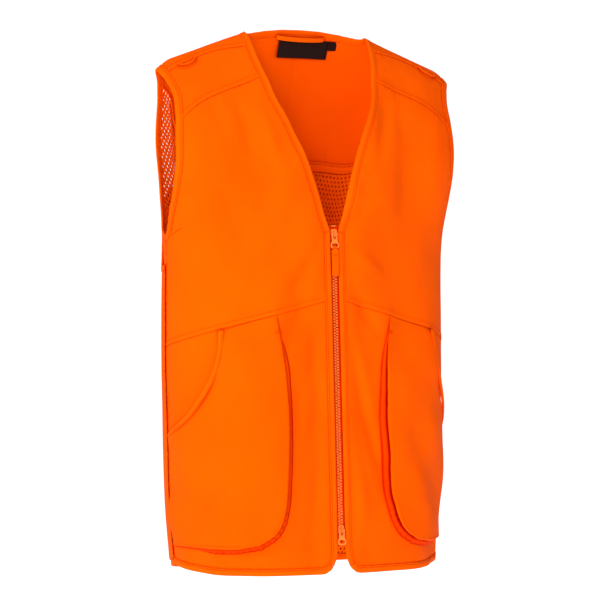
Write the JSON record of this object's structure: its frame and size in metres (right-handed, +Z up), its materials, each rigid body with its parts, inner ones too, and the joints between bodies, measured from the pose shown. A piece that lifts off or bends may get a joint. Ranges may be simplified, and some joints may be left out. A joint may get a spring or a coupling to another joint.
{
  "type": "field vest",
  "caption": "Blaze orange sleeveless V-neck field vest with a two-way front zip, bellows hand pockets, mesh back and a rear game pocket.",
  "frame": {"origin": "nape point: on the centre plane, midway between the two neck points on the shoulder line", "axes": "+Z up, the front faces -Y, +X is the wearer's left"},
  "size_m": [0.439, 0.2331, 0.7474],
  "materials": {
    "orange_cloth": "matte plain-weave cotton and polyester cloth",
    "orange_mesh": "matte open knitted mesh",
    "zip_plastic": "moulded plastic, slightly shiny",
    "zip_tape": "woven zip tape",
    "label_black": "black satin woven label, blank"
  },
  "bodies": {
    "shell": {"armhole_binding_l": "orange_cloth", "armhole_binding_r": "orange_cloth", "back_mesh": "orange_mesh", "back_seam_tape": "orange_cloth", "back_yoke": "orange_cloth", "front_chest_l": "orange_cloth", "front_chest_r": "orange_cloth", "front_edge_binding_l": "orange_cloth", "front_edge_binding_r": "orange_cloth", "front_lower_l": "orange_cloth", "front_lower_r": "orange_cloth", "front_yoke_l": "orange_cloth", "front_yoke_r": "orange_cloth", "game_pocket": "orange_cloth", "game_pocket_binding": "orange_cloth", "hem_binding": "orange_cloth", "neck_binding": "orange_cloth", "neck_label": "label_black", "pocket_gusset_l": "orange_cloth", "pocket_gusset_r": "orange_cloth", "size_label": "label_black", "zip_bottom_pin_l": "zip_plastic", "zip_bottom_pin_r": "zip_plastic", "zip_chain_l": "zip_plastic", "zip_chain_r": "zip_plastic", "zip_tape_l": "zip_tape", "zip_tape_r": "zip_tape", "zip_top_stop_l": "zip_plastic", "zip_top_stop_r": "zip_plastic"},
    "pocket_l": {"pocket_face_l": "orange_cloth", "pocket_binding_l": "orange_cloth", "pocket_tack_l": "orange_cloth"},
    "pocket_r": {"pocket_face_r": "orange_cloth", "pocket_binding_r": "orange_cloth", "pocket_tack_r": "orange_cloth"},
    "top_slider": {"top_slider": "zip_plastic"},
    "top_pull": {"top_puller": "zip_plastic"},
    "pull_tab": {"pull_tab": "orange_cloth"},
    "bottom_slider": {"bottom_slider": "zip_plastic"},
    "bottom_pull": {"bottom_puller": "zip_plastic"},
    "shoulder_loop_l": {"shoulder_loop_l": "orange_cloth"},
    "shoulder_loop_r": {"shoulder_loop_r": "orange_cloth"},
    "hanger_loop": {"hanger_loop": "orange_cloth"}
  },
  "joints": [
    {"name": "top_slider_slide", "type": "slide", "parent": "shell", "child": "top_slider", "axis": [0, -0.0579, -0.9983], "range_m": [0, 0.21]},
    {"name": "top_puller_swing", "type": "hinge", "parent": "top_slider", "child": "top_pull", "pos_m": [0, -0.09681, -0.27587], "axis": [-1, 0, 0], "range_deg": [0, 110]},
    {"name": "pull_tab_swing", "type": "hinge", "parent": "top_pull", "child": "pull_tab", "pos_m": [0, -0.09796, -0.29583], "axis": [-1, 0, 0], "range_deg": [0, 60]},
    {"name": "bottom_slider_slide", "type": "slide", "parent": "shell", "child": "bottom_slider", "axis": [0, 0.0579, 0.9983], "range_m": [0, 0.1]},
    {"name": "bottom_puller_swing", "type": "hinge", "parent": "bottom_slider", "child": "bottom_pull", "pos_m": [0, -0.11976, -0.6717], "axis": [-1, 0, 0], "range_deg": [0, 170]},
    {"name": "shoulder_loop_l_lift", "type": "hinge", "parent": "shell", "child": "shoulder_loop_l", "pos_m": [0.1818, -0.01424, -0.04285], "axis": [-0.8945, 0.0405, 0.4452], "range_deg": [0, 130]},
    {"name": "shoulder_loop_r_lift", "type": "hinge", "parent": "shell", "child": "shoulder_loop_r", "pos_m": [-0.1818, -0.01424, -0.04285], "axis": [-0.8945, -0.0405, -0.4452], "range_deg": [0, 130]},
    {"name": "hanger_loop_lift", "type": "hinge", "parent": "shell", "child": "hanger_loop", "pos_m": [0, 0.015, 0.001], "axis": [-1, 0, 0], "range_deg": [0, 90]},
    {"name": "pocket_l_open", "type": "hinge", "parent": "shell", "child": "pocket_l", "pos_m": [0.20206, -0.00344, -0.621], "axis": [0, 0, 1], "range_deg": [0, 9], "deforming": ["pocket_gusset_l"]},
    {"name": "pocket_r_open", "type": "hinge", "parent": "shell", "child": "pocket_r", "pos_m": [-0.20206, -0.00344, -0.621], "axis": [0, 0, -1], "range_deg": [0, 9], "deforming": ["pocket_gusset_r"]}
  ]
}
